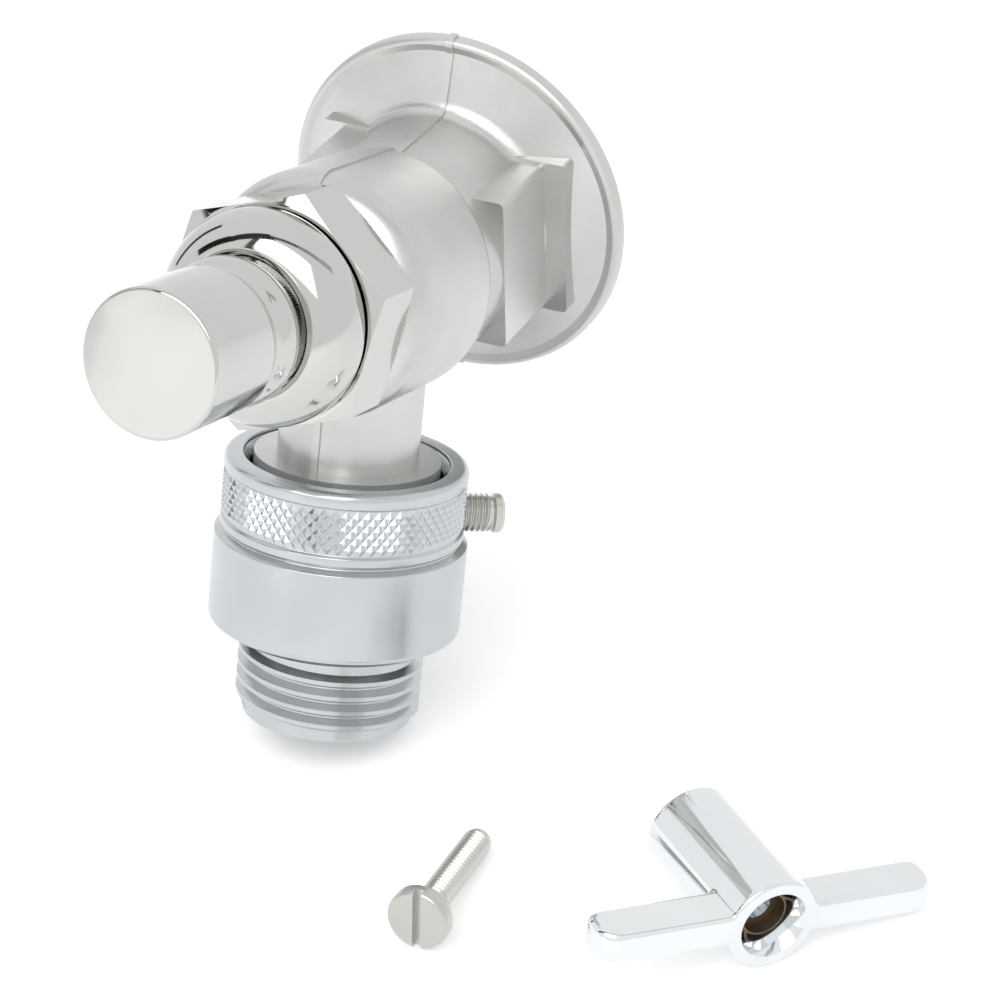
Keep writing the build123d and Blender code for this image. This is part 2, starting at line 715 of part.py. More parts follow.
# Loose key: it lies on its sleeve and on the tip of one arm
arm_corner_x = key_span / 2 - key_arm_edge
arm_corner_y = key_arm_t / 2 - key_arm_edge
key_roll = asin((key_sleeve_r - key_arm_edge) / hypot(arm_corner_x, arm_corner_y)) - atan2(arm_corner_y, arm_corner_x)
key_out = Vector(sin(radians(key_turn)), -cos(radians(key_turn)), 0)
key_level = Vector(cos(radians(key_turn)), sin(radians(key_turn)), 0)
key_arm_dir = key_level * cos(key_roll) - up * sin(key_roll)
key_up = key_out.cross(key_arm_dir)
key_front = Vector(key_front_x, key_front_y, floor_z + key_sleeve_r)
key_face = Plane(key_front, x_dir=key_arm_dir, z_dir=key_out)
key_plan = Plane(key_front, x_dir=key_arm_dir, z_dir=key_up)
socket_r = stem_r + drop_in_gap

with BuildPart() as t_handle:
    with BuildSketch(key_plan):
        with Locations((0, key_arm_depth / 2)):
            Rectangle(key_span, key_arm_depth)
        fillet(vertices().sort_by(Axis.Y)[:2], key_arm_front_round)
        fillet(vertices().sort_by(Axis.Y)[-2:], key_arm_back_round)
    extrude(amount=key_arm_t / 2, both=True)
    fillet(t_handle.faces().filter_by(Axis((0, 0, 0), key_up)).edges(), key_arm_edge)
    with BuildSketch(key_face):
        Circle(key_sleeve_r)
    extrude(amount=-key_sleeve_len)
    with BuildSketch(key_face):
        Circle(key_counterbore_r)
    extrude(amount=-key_counterbore_depth, mode=Mode.SUBTRACT)
    with BuildSketch(key_face):
        Circle(key_screw_r + drop_in_gap)
    extrude(amount=-key_sleeve_len, mode=Mode.SUBTRACT)
    with BuildSketch(key_face.offset(-key_sleeve_len)):
        Circle(socket_r)
        with PolarLocations(socket_r, spline_teeth):
            Rectangle(spline_groove - drop_in_gap, spline_groove - drop_in_gap, rotation=45, mode=Mode.SUBTRACT)
    extrude(amount=key_spline_len, mode=Mode.SUBTRACT)
    with BuildSketch(key_face.offset(key_spline_len - key_sleeve_len)):
        Circle(key_relief_r)
    extrude(amount=key_socket_depth - key_spline_len, mode=Mode.SUBTRACT)
t_handle.part.label = "t_handle"
export_step(t_handle.part, "parts/t_handle.step")

# Loose slotted screw: it lies on its head and on its tip
screw_pitch = asin((key_screw_head_r - key_screw_r) / (key_screw_len - key_screw_head_t))
screw_level = Vector(sin(radians(key_screw_turn)), -cos(radians(key_screw_turn)), 0)
screw_front_dir = screw_level * cos(screw_pitch) + up * sin(screw_pitch)
screw_side = Vector(cos(radians(key_screw_turn)), sin(radians(key_screw_turn)), 0)
head_rise = key_screw_head_r * cos(screw_pitch) + key_screw_head_t * sin(screw_pitch)
screw_face = Plane((key_screw_x, key_screw_y, floor_z + head_rise), x_dir=screw_side, z_dir=screw_front_dir)

with BuildPart() as handle_screw:
    with BuildSketch(screw_face):
        Circle(key_screw_head_r)
    extrude(amount=-key_screw_head_t)
    fillet(handle_screw.faces().sort_by(Axis(screw_face.origin, screw_front_dir))[-1].edges(), key_screw_head_edge)
    with BuildSketch(screw_face.offset(-key_screw_head_t)):
        Circle(key_screw_r)
    extrude(amount=key_screw_head_t - key_screw_len)
    with BuildSketch(screw_face):
        Rectangle(key_screw_slot_w, 3 * key_screw_head_r)
    extrude(amount=-key_screw_slot_depth, mode=Mode.SUBTRACT)
handle_screw.part.label = "handle_screw"
export_step(handle_screw.part, "parts/handle_screw.step")
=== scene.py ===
"""Sillcock with its loose key and key screw: the looks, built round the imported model.

Sizes are in millimetres, each sub-assembly's in its own frame. Turning.place brings a mesh into the row's frame, and
piece turns it into metres.
"""
import logging
from cmath import phase, rect
from dataclasses import dataclass
from enum import Enum
from math import asin, atan2, cos, hypot, pi, radians, sin, sqrt, tan, tau

import bmesh
import bpy
from mathutils import Matrix, Vector


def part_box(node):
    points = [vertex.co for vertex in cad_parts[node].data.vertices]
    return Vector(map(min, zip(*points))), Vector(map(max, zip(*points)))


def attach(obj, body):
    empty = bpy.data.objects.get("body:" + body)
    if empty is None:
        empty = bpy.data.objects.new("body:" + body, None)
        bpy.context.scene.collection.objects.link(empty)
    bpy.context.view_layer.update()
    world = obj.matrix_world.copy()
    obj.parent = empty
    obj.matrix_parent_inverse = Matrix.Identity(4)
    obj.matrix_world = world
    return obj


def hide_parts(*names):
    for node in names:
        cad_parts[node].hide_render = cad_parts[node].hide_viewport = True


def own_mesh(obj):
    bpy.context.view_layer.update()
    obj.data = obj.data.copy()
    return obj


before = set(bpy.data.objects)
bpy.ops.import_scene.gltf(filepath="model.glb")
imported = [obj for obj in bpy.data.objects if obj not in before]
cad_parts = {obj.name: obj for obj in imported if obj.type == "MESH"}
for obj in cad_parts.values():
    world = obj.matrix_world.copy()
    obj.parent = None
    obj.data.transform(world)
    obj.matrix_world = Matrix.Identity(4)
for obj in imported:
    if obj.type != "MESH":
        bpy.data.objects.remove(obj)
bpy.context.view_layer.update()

MM = 0.001
LOG = logging.getLogger("sillcock")

TILT = radians(15.0)
STEM_CROSSING = 21.6
OUTLET_AHEAD = 8.77
SIDE = Vector((1.0, 0.0, 0.0))
UP = Vector((0.0, 0.0, 1.0))
STEM_DIR = Vector((0.0, -cos(TILT), sin(TILT)))
OUTLET_DIR = Vector((0.0, -sin(TILT), -cos(TILT)))
CENTRE = Vector((0.0, -STEM_CROSSING, 0.0)) + STEM_DIR * OUTLET_AHEAD
FLOOR_Z = min(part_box("breaker_outlet")[0].z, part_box("t_handle")[0].z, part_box("handle_screw")[0].z) / MM

POLE_RADIUS = 1e-6
MERGE_DISTANCE = 1e-5
SHARP_ANGLE = 32.0
THREAD_FOOT = 0.92
THREAD_SINK = 0.03
THREAD_RUN_OUT = 0.3
THREAD_LEAST = 0.02
THREAD_GAP = 0.03
KNURL_FLAT = 0.12
HANDLING_SCALE = 90.0
TONE_SCALE = 60.0
WHITE = (1.0, 1.0, 1.0, 1.0)
FLOAT, WHOLE, VECTOR = "NodeSocketFloat", "NodeSocketInt", "NodeSocketVector"
COLOUR, MATERIAL, GEOMETRY = "NodeSocketColor", "NodeSocketMaterial", "NodeSocketGeometry"

Mesh = bpy.types.Mesh
Object = bpy.types.Object
Tree = bpy.types.NodeTree
Socket = bpy.types.NodeSocket
Point = tuple[float, float]
Outline = list[Point]
Profile = list[tuple[float, ...]]


@dataclass(frozen=True)
class Turning:
    """An axis that pieces are turned round.

    Attributes:
        origin: Point on the axis where heights start, in millimetres.
        axis: Direction in which heights grow.
        side: Direction of angle zero.
    """

    origin: Vector
    axis: Vector
    side: Vector

    def place(self) -> Matrix:
        """Matrix from this frame to the row's frame, both in millimetres."""
        side = self.side.normalized()
        axis = self.axis.normalized()
        turn = Matrix((side, axis.cross(side), axis)).transposed().to_4x4()
        return Matrix.Translation(self.origin) @ turn

    def turned(self, profile: Outline, steps: int) -> Mesh:
        """Turns a closed profile round this axis, in the row's frame."""
        return moved(lathe(profile, steps), self.place())


STEM = Turning(CENTRE, STEM_DIR, SIDE)
OUTLET = Turning(CENTRE, OUTLET_DIR, SIDE)
INLET = Turning(Vector(), Vector((0.0, -1.0, 0.0)), SIDE)


class Slot(Enum):
    """Material slots of the record, passed along with the made pieces but not used to assign them."""

    CHROME = "polished_chrome"
    BRASS = "brass"
    STEEL = "stainless_steel"


def polar(radius: float, turn: float) -> Point:
    """Point at a radius and an angle in radians."""
    return radius * cos(turn), radius * sin(turn)


def aimed(azimuth: float, elevation: float) -> Vector:
    """Direction by azimuth from the front towards the right, and elevation, both in degrees."""
    turn, rise = radians(azimuth), radians(elevation)
    return Vector((sin(turn) * cos(rise), -cos(turn) * cos(rise), sin(rise)))


def rounded(points: Profile, segments: int = 6) -> Outline:
    """Rounds the corners of a closed profile.

    Args:
        points: Corners as (radius, height) or (radius, height, round).
        segments: Steps in each rounded corner.

    Returns:
        The profile with each round worked out as an arc.
    """
    result: Outline = []
    for index, point in enumerate(points):
        radius = point[2] if len(point) > 2 else 0.0
        here = Vector(point[:2])
        if radius <= 0.0:
            result.append(tuple(here))
            continue
        before = Vector(points[index - 1][:2]) - here
        after = Vector(points[(index + 1) % len(points)][:2]) - here
        half = before.angle(after) / 2.0
        reach = min(radius / tan(half), 0.49 * before.length, 0.49 * after.length)
        radius = reach * tan(half)
        middle = here + (before.normalized() + after.normalized()).normalized() * radius / sin(half)
        start = here + before.normalized() * reach - middle
        end = here + after.normalized() * reach - middle
        sweep = start.angle_signed(end)
        for step in range(segments + 1):
            result.append(tuple(middle + Matrix.Rotation(-sweep * step / segments, 2) @ start))
    return result


def arc(start: Point, through: Point, end: Point, segments: int) -> Outline:
    """Points on the arc through three points, both ends included."""
    first, second, third = (complex(*point) for point in (start, through, end))
    ratio = (third - first) / (second - first)
    middle = first + (second - first) * (ratio - abs(ratio) ** 2) / (2j * ratio.imag)
    past, last = (phase((point - middle) / (first - middle)) % tau for point in (second, third))
    if past > last:
        last -= tau
    points = [middle + (first - middle) * rect(1.0, last * i / segments) for i in range(segments + 1)]
    return [(point.real, point.imag) for point in points]


def outward(bm: bmesh.types.BMesh) -> Mesh:
    """Turns every face outwards and hands over the mesh."""
    bmesh.ops.recalc_face_normals(bm, faces=bm.faces)
    mesh = bpy.data.meshes.new("outward")
    bm.to_mesh(mesh)
    bm.free()
    return mesh


def lathe(profile: Outline, steps: int) -> Mesh:
    """Turns a closed profile round the local Z axis.

    Args:
        profile: Closed loop of (radius, height) in millimetres. Points on the axis become poles.
        steps: Facets round the turn.

    Returns:
        A closed mesh with its faces pointing outwards.
    """
    bm = bmesh.new()
    rings = []
    for radius, height in profile:
        facets = 1 if radius < POLE_RADIUS else steps
        rings.append([bm.verts.new((*polar(radius, tau * i / steps), height)) for i in range(facets)])
    for index, ring in enumerate(rings):
        other = rings[(index + 1) % len(rings)]
        if len(ring) == 1 and len(other) == 1:
            continue
        for i in range(steps):
            j = (i + 1) % steps
            corners = [ring[i % len(ring)], ring[j % len(ring)], other[j % len(other)], other[i % len(other)]]
            bm.faces.new(list(dict.fromkeys(corners)))
    return outward(bm)


def rod(radius: float, low: float, high: float, steps: int = 48) -> Mesh:
    """Closed cylinder on the local Z axis, from one height to another."""
    return lathe([(0.0, low), (radius, low), (radius, high), (0.0, high)], steps)


def prism(outline: Outline, low: float, high: float) -> Mesh:
    """Closed prism over an outline in local X and Y, from one height to another."""
    bm = bmesh.new()
    lower, upper = ([bm.verts.new((x, y, z)) for x, y in outline] for z in (low, high))
    bm.faces.new(lower)
    bm.faces.new(upper)
    for i in range(len(outline)):
        j = (i + 1) % len(outline)
        bm.faces.new((lower[i], lower[j], upper[j], upper[i]))
    return outward(bm)


def slab(left: float, right: float, half: float, low: float, high: float) -> Mesh:
    """Closed box between two local X and two heights, reaching half either way in Y."""
    return prism([(left, -half), (right, -half), (right, half), (left, half)], low, high)


def moved(mesh: Mesh, matrix: Matrix) -> Mesh:
    """Applies a matrix to a mesh and returns it."""
    mesh.transform(matrix)
    return mesh


def joined(*meshes: Mesh) -> Mesh:
    """One mesh of several closed ones, with nothing merged."""
    bm = bmesh.new()
    for mesh in meshes:
        bm.from_mesh(mesh)
        bpy.data.meshes.remove(mesh)
    return outward(bm)


def placed(name: str, data: bpy.types.ID) -> Object:
    """Makes an object of some data and links it to the scene."""
    obj = bpy.data.objects.new(name, data)
    bpy.context.scene.collection.objects.link(obj)
    return obj


def baked(mesh: Mesh, *modifiers: tuple[str, dict[str, object]]) -> Mesh:
    """Evaluates modifiers on a mesh.

    Args:
        mesh: What the modifiers start from. It is removed.
        modifiers: Type of each modifier and its settings. A geometry tree's inputs go by their identifiers.

    Returns:
        The plain result, free of modifiers.
    """
    helper = placed("helper", mesh)
    for kind, settings in modifiers:
        modifier = helper.modifiers.new(kind, kind)
        for label, value in settings.items():
            if label.startswith("Socket_"):
                modifier[label] = value
            else:
                setattr(modifier, label, value)
    bpy.context.view_layer.update()
    depsgraph = bpy.context.evaluated_depsgraph_get()
    result = bpy.data.meshes.new_from_object(helper.evaluated_get(depsgraph))
    bpy.data.objects.remove(helper)
    bpy.data.meshes.remove(mesh)
    return result


def carved(mesh: Mesh, cutter: Mesh, operation: str = "DIFFERENCE") -> Mesh:
    """Boolean of two closed meshes by the exact solver."""
    tool = placed("tool", cutter)
    result = baked(mesh, ("BOOLEAN", {"operation": operation, "solver": "EXACT", "object": tool}))
    bpy.data.objects.remove(tool)
    bpy.data.meshes.remove(cutter)
    return result


def bevelled(mesh: Mesh, width: float, segments: int, angle: float) -> Mesh:
    """Rounds the edges of a mesh that are sharper than an angle in degrees."""
    return baked(mesh, ("BEVEL", {"width": width, "segments": segments, "limit_method": "ANGLE",
                                  "angle_limit": radians(angle)}))


def cast(mesh: Mesh, voxel: float, passes: int) -> Mesh:
    """Fuses overlapping shells on a grid into one skin and smooths its inner corners, as a mould leaves them."""
    return baked(mesh, ("REMESH", {"mode": "VOXEL", "voxel_size": voxel}), ("SMOOTH", {"iterations": passes}))


def feed(tree: Tree, socket: Socket, value: object) -> None:
    """Links a socket to another one, or gives it a value."""
    if isinstance(value, Socket):
        tree.links.new(value, socket)
    else:
        socket.default_value = value


def put(tree: Tree, kind: str, inputs: dict | None = None, **settings: object) -> bpy.types.Node:
    """Adds a node to a tree.

    Args:
        tree: The tree.
        kind: The node's type.
        inputs: What its inputs get, by name or number: a value, or a socket to link.
        **settings: Its properties.

    Returns:
        The new node.
    """
    node = tree.nodes.new(kind)
    for label, value in settings.items():
        setattr(node, label, value)
    for label, value in (inputs or {}).items():
        feed(tree, node.inputs[label], value)
    return node


def maths(tree: Tree, operation: str, *values: object) -> Socket:
    """Adds a Math node to a tree and returns its output."""
    return put(tree, "ShaderNodeMath", dict(enumerate(values)), operation=operation).outputs[0]


def vector(tree: Tree, *parts: object) -> Socket:
    """Adds a Combine XYZ node to a tree and returns its output."""
    return put(tree, "ShaderNodeCombineXYZ", dict(enumerate(parts))).outputs[0]


def new_tree(name: str, kind: str, inputs: dict[str, str], output: str,
             output_type: str) -> tuple[Tree, bpy.types.NodeOutputs, bpy.types.NodeInputs]:
    """Starts a node group with named inputs and one output.

    Args:
        name: The group's name.
        kind: The type of its tree.
        inputs: Socket type of each input.
        output: Name of the output.
        output_type: Socket type of the output.

    Returns:
        The tree, the sockets that give its inputs, and the sockets that take its output.
    """
    tree = bpy.data.node_groups.new(name, kind)
    tree.interface.new_socket(output, in_out="OUTPUT", socket_type=output_type)
    for label, socket_type in inputs.items():
        tree.interface.new_socket(label, in_out="INPUT", socket_type=socket_type)
    return tree, tree.nodes.new("NodeGroupInput").outputs, tree.nodes.new("NodeGroupOutput").inputs


def finish_tree(tree: Tree, shape: Socket, material: Socket, result: Socket) -> None:
    """Ends a geometry tree in Realize Instances and Set Material."""
    real = put(tree, "GeometryNodeRealizeInstances", {"Geometry": shape})
    paint = put(tree, "GeometryNodeSetMaterial", {"Geometry": real.outputs["Geometry"], "Material": material})
    feed(tree, result, paint.outputs["Geometry"])


def run_tree(name: str, values: dict[str, object]) -> Mesh:
    """Evaluates a geometry tree with the given value of each named input."""
    tree = bpy.data.node_groups[name]
    sockets = {item.name: item.identifier for item in tree.interface.items_tree if item.in_out == "INPUT"}
    inputs = {sockets[label]: value for label, value in values.items()}
    return baked(bpy.data.meshes.new("seed"), ("NODES", {"node_group": tree, **inputs}))


def thread_tree() -> None:
    """Helical ridge of a thread: a trapezium swept along a spiral, fading out at both ends."""
    tree, given, result = new_tree("thread_ridge", "GeometryNodeTree", {
        "Radius": FLOAT, "Depth": FLOAT, "Pitch": FLOAT, "Turns": FLOAT, "Foot": FLOAT, "Crest": FLOAT,
        "Steps": WHOLE, "Material": MATERIAL}, "Geometry", GEOMETRY)
    spiral = put(tree, "GeometryNodeCurveSpiral", {
        "Resolution": given["Steps"], "Rotations": given["Turns"], "Start Radius": given["Radius"],
        "End Radius": given["Radius"], "Height": maths(tree, "MULTIPLY", given["Pitch"], given["Turns"])})
    normal = put(tree, "GeometryNodeSetCurveNormal", {"Curve": spiral.outputs["Curve"]}, mode="Z_UP")
    along = put(tree, "GeometryNodeSplineParameter").outputs["Factor"]
    inwards = maths(tree, "MINIMUM", along, maths(tree, "SUBTRACT", 1.0, along))
    turns = maths(tree, "DIVIDE", given["Turns"], THREAD_RUN_OUT)
    size = maths(tree, "MINIMUM", maths(tree, "MULTIPLY", inwards, turns), 1.0)
    fade = put(tree, "GeometryNodeSetCurveRadius", {
        "Curve": normal.outputs["Curve"], "Radius": maths(tree, "MAXIMUM", size, THREAD_LEAST)})
    section = put(tree, "GeometryNodeCurvePrimitiveQuadrilateral", {
        "Bottom Width": given["Foot"], "Top Width": given["Crest"], "Offset": 0.0, "Height": given["Depth"]},
        mode="TRAPEZOID")
    turned = put(tree, "GeometryNodeTransform", {
        "Geometry": section.outputs["Curve"], "Rotation": (0.0, 0.0, pi / 2.0),
        "Translation": vector(tree, maths(tree, "MULTIPLY", given["Depth"], -0.5))})
    sweep = put(tree, "GeometryNodeCurveToMesh", {
        "Curve": fade.outputs["Curve"], "Profile Curve": turned.outputs["Geometry"], "Fill Caps": True,
        "Scale": put(tree, "GeometryNodeInputRadius").outputs[0]})
    finish_tree(tree, sweep.outputs["Mesh"], given["Material"], result[0])


def knurl_tree() -> None:
    """Diamond knurl: staggered rows of four-sided points round a cylinder."""
    tree, given, result = new_tree("diamond_knurl", "GeometryNodeTree", {
        "Radius": FLOAT, "Relief": FLOAT, "Start": FLOAT, "Row Pitch": FLOAT, "Around": WHOLE, "Rows": WHOLE,
        "Material": MATERIAL}, "Geometry", GEOMETRY)
    radius, around, pitch = given["Radius"], given["Around"], given["Row Pitch"]
    index = put(tree, "GeometryNodeInputIndex").outputs[0]
    row = maths(tree, "FLOOR", maths(tree, "DIVIDE", index, around))
    stagger = maths(tree, "MULTIPLY", maths(tree, "MODULO", row, 2.0), 0.5)
    column = maths(tree, "ADD", maths(tree, "MODULO", index, around), stagger)
    angle = maths(tree, "MULTIPLY", maths(tree, "DIVIDE", column, around), tau)
    height = maths(tree, "ADD", maths(tree, "MULTIPLY", row, pitch), given["Start"])
    cosine, sine = maths(tree, "COSINE", angle), maths(tree, "SINE", angle)
    place = vector(tree, maths(tree, "MULTIPLY", cosine, radius), maths(tree, "MULTIPLY", sine, radius), height)
    points = put(tree, "GeometryNodePoints", {
        "Count": maths(tree, "MULTIPLY", around, given["Rows"]), "Position": place})
    diamond = put(tree, "GeometryNodeMeshCone", {
        "Vertices": 4, "Radius Top": KNURL_FLAT, "Radius Bottom": 1.0, "Depth": 1.0}, fill_type="NGON")
    turn = put(tree, "FunctionNodeAxesToRotation", {
        "Primary Axis": vector(tree, cosine, sine), "Secondary Axis": (0.0, 0.0, 1.0)},
        primary_axis="Z", secondary_axis="Y")
    width = maths(tree, "DIVIDE", maths(tree, "MULTIPLY", radius, pi), around)
    scatter = put(tree, "GeometryNodeInstanceOnPoints", {
        "Points": points.outputs["Points"], "Instance": diamond.outputs["Mesh"], "Rotation": turn.outputs[0],
        "Scale": vector(tree, width, pitch, given["Relief"])})
    finish_tree(tree, scatter.outputs["Instances"], given["Material"], result[0])


def noise(tree: Tree, given: bpy.types.NodeOutputs, scale: Socket | float, detail: float) -> Socket:
    """Adds a Noise texture at the given Vector and returns its value."""
    inputs = {"Vector": given["Vector"], "Scale": scale, "Detail": detail}
    return put(tree, "ShaderNodeTexNoise", inputs).outputs["Fac"]


def relief_group() -> None:
    """Height of a surface: fine grain over a slow waviness."""
    tree, given, result = new_tree("surface_relief", "ShaderNodeTree", {
        "Vector": VECTOR, "Grain Scale": FLOAT, "Grain": FLOAT, "Wave Scale": FLOAT, "Wave": FLOAT}, "Height", FLOAT)
    grain = noise(tree, given, given["Grain Scale"], 2.0)
    wave = noise(tree, given, given["Wave Scale"], 1.0)
    fine = maths(tree, "MULTIPLY", grain, given["Grain"])
    feed(tree, result[0], maths(tree, "MULTIPLY_ADD", wave, given["Wave"], fine))


def handling_group() -> None:
    """Roughness that wanders between two values, as plating does where it was blasted and handled."""
    tree, given, result = new_tree("handling", "ShaderNodeTree", {
        "Vector": VECTOR, "Low": FLOAT, "High": FLOAT}, "Roughness", FLOAT)
    cloud = noise(tree, given, HANDLING_SCALE, 3.0)
    spread = maths(tree, "SUBTRACT", given["High"], given["Low"])
    feed(tree, result[0], maths(tree, "MULTIPLY_ADD", cloud, spread, given["Low"]))


def tone_group() -> None:
    """Colour that drifts between two near tones."""
    tree, given, result = new_tree("tone", "ShaderNodeTree", {
        "Vector": VECTOR, "First": COLOUR, "Second": COLOUR}, "Colour", COLOUR)
    cloud = noise(tree, given, TONE_SCALE, 2.0)
    spread = put(tree, "ShaderNodeMapRange", {"Value": cloud, "From Min": 0.3, "From Max": 0.7})
    mix = put(tree, "ShaderNodeMix", {
        "Factor": spread.outputs["Result"], 6: given["First"], 7: given["Second"]}, data_type="RGBA")
    feed(tree, result[0], mix.outputs[2])


@dataclass(frozen=True)
class Finish:
    """How a surface is finished.

    Attributes:
        name: The material's name.
        first: One of the two tones that the surface drifts between.
        second: The other tone.
        smooth: Lowest roughness.
        rough: Highest roughness.
        grain: Height of the fine grain, in metres.
        grain_scale: Grains per metre.
        wave: Height of the slow waviness, in metres.
        wave_scale: Waves per metre.
        metallic: One for metal, zero for other matter.
    """

    name: str
    first: tuple[float, float, float]
    second: tuple[float, float, float]
    smooth: float
    rough: float
    grain: float = 0.0
    grain_scale: float = 4000.0
    wave: float = 0.0
    wave_scale: float = 120.0
    metallic: float = 1.0

    def build(self) -> bpy.types.Material:
        """Makes the material, or returns it if it is there."""
        if self.name in bpy.data.materials:
            return bpy.data.materials[self.name]
        material = bpy.data.materials.new(self.name)
        material.use_nodes = True
        tree = material.node_tree
        shader = tree.nodes["Principled BSDF"]
        where = put(tree, "ShaderNodeTexCoord").outputs["Object"]

        def effect(name: str, values: dict[str, object]) -> Socket:
            """Places a shared group with this finish's values."""
            group = bpy.data.node_groups[name]
            return put(tree, "ShaderNodeGroup", {"Vector": where, **values}, node_tree=group).outputs[0]

        tones = {"First": (*self.first, 1.0), "Second": (*self.second, 1.0)}
        feed(tree, shader.inputs["Metallic"], self.metallic)
        feed(tree, shader.inputs["Base Color"], effect("tone", tones))
        feed(tree, shader.inputs["Roughness"], effect("handling", {"Low": self.smooth, "High": self.rough}))
        if self.grain or self.wave:
            height = effect("surface_relief", {"Grain": self.grain, "Grain Scale": self.grain_scale,
                                               "Wave": self.wave, "Wave Scale": self.wave_scale})
            bump = put(tree, "ShaderNodeBump", {"Distance": 1.0, "Height": height})
            feed(tree, shader.inputs["Normal"], bump.outputs["Normal"])
        return material


CAST = Finish("satin_plated_casting", (0.65, 0.655, 0.64), (0.56, 0.565, 0.55), 0.28, 0.40, grain=0.00002,
              grain_scale=3200.0, wave=0.00012, wave_scale=160.0)
MIRROR = Finish("polished_plate", (0.59, 0.595, 0.575), (0.56, 0.565, 0.545), 0.05, 0.10, wave=0.00005,
                wave_scale=110.0)
BRIGHT = Finish("bright_plate", (0.80, 0.82, 0.835), (0.76, 0.78, 0.795), 0.05, 0.10, wave=0.00004, wave_scale=110.0)
GRAINED = Finish("grained_plate", (0.565, 0.59, 0.605), (0.51, 0.535, 0.55), 0.20, 0.30, grain=0.000006,
                 grain_scale=2600.0, wave=0.00004, wave_scale=140.0)
KNURLED = Finish("plated_knurl", (0.60, 0.63, 0.65), (0.54, 0.57, 0.59), 0.14, 0.24)
TURNED_BRASS = Finish("turned_brass", (0.74, 0.58, 0.33), (0.60, 0.44, 0.22), 0.22, 0.34, grain=0.000008)
# Unplated brass whose colour is darkened as painted shade, for the inside of the key's recess.
SHADE_DARKENED_BRASS = Finish("brass_darkened_as_painted_shade", (0.27, 0.21, 0.15), (0.20, 0.155, 0.11), 0.40, 0.55, grain=0.000008)
STEEL = Finish("satin_steel", (0.60, 0.60, 0.57), (0.52, 0.52, 0.49), 0.24, 0.36, grain=0.00001)
RUBBER = Finish("black_rubber", (0.03, 0.03, 0.03), (0.045, 0.045, 0.045), 0.55, 0.7, grain=0.00002, metallic=0.0)
FIBRE = Finish("red_fibre", (0.42, 0.12, 0.08), (0.32, 0.09, 0.06), 0.6, 0.75, grain=0.00003, metallic=0.0)
ACETAL = Finish("white_acetal", (0.86, 0.85, 0.80), (0.82, 0.81, 0.76), 0.3, 0.4, metallic=0.0)


def piece(name: str, mesh: Mesh, finish: Finish, slot: Slot, *nodes: str, body: str = "housing",
          sharp: float = SHARP_ANGLE) -> Object:
    """Args:
        name: The piece's name.
        mesh: Its mesh in the row's frame, in millimetres.
        finish: Its finish.
        slot: The record's material slot. It is not used.
        *nodes: The CAD nodes that it stands for.
        body: The CAD body that it rides on.
        sharp: Edges sharper than this angle in degrees stay crisp.

    Returns:
        The new object.
    """
    mesh.transform(Matrix.Scale(MM, 4))
    mesh.shade_smooth()
    mesh.set_sharp_from_angle(angle=radians(sharp))
    # The larger faces set the shading, so that flats stay flat beside their rounds.
    mesh = baked(mesh, ("WEIGHTED_NORMAL", {"keep_sharp": True}))
    mesh.name = name
    mesh.materials.clear()
    mesh.materials.append(finish.build())
    obj = placed(name, mesh)
    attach(obj, body)
    if nodes:
        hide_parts(*nodes)
    LOG.info("%s: %d faces", name, len(mesh.polygons))
    return obj


def dress(finish: Finish, *nodes: str) -> None:
    """Gives CAD nodes their finish."""
    for node in nodes:
        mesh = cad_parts[node].data
        mesh.materials.clear()
        mesh.materials.append(finish.build())


def thread(name: str, turning: Turning, radius: float, depth: float, pitch: float, start: float, length: float,
           finish: Finish, slot: Slot, body: str = "housing", inward: bool = False, crest: float = 0.16,
           steps: int = 72) -> None:
    """Makes one thread's helical ridge round an axis, as a piece.

    Args:
        name: The piece's name.
        turning: The axis.
        radius: Radius that the ridge stands on.
        depth: Height of the ridge.
        pitch: Distance between turns.
        start: Height at which the thread starts.
        length: Height that it takes.
        finish: Its finish.
        slot: The record's material slot.
        body: The CAD body that it rides on.
        inward: Whether the ridge stands inwards, in a hole.
        crest: Width of its crest as a share of the pitch.
        steps: Steps in each turn.
    """
    sense = -1.0 if inward else 1.0
    foot = THREAD_FOOT * pitch
    ridge = run_tree("thread_ridge", {
        "Radius": radius - THREAD_SINK * sense, "Depth": depth * sense, "Pitch": pitch,
        "Turns": (length - foot) / pitch, "Foot": foot, "Crest": crest * pitch, "Steps": steps,
        "Material": finish.build()})
    bm = bmesh.new()
    bm.from_mesh(ridge)
    bpy.data.meshes.remove(ridge)
    bmesh.ops.remove_doubles(bm, verts=bm.verts, dist=MERGE_DISTANCE)
    mesh = moved(outward(bm), turning.place() @ Matrix.Translation((0.0, 0.0, start + foot / 2.0)))
    piece(name, mesh, finish, slot, body=body)


@dataclass
class ValveBody:
    """The casting, with the pipe thread in its inlet."""

    inlet_r: float = 9.9
    inlet_len: float = 15.0
    pipe_pitch: float = 1.814
    pipe_depth: float = 0.85
    pipe_start: float = 0.3
    pipe_short: float = 1.0

    def build(self) -> None:
        """Dresses the casting and adds the inlet's thread."""
        dress(CAST, "valve_body")
        thread("inlet_thread", INLET, self.inlet_r, self.pipe_depth, self.pipe_pitch, self.pipe_start,
               self.inlet_len - self.pipe_short, TURNED_BRASS, Slot.BRASS, inward=True)


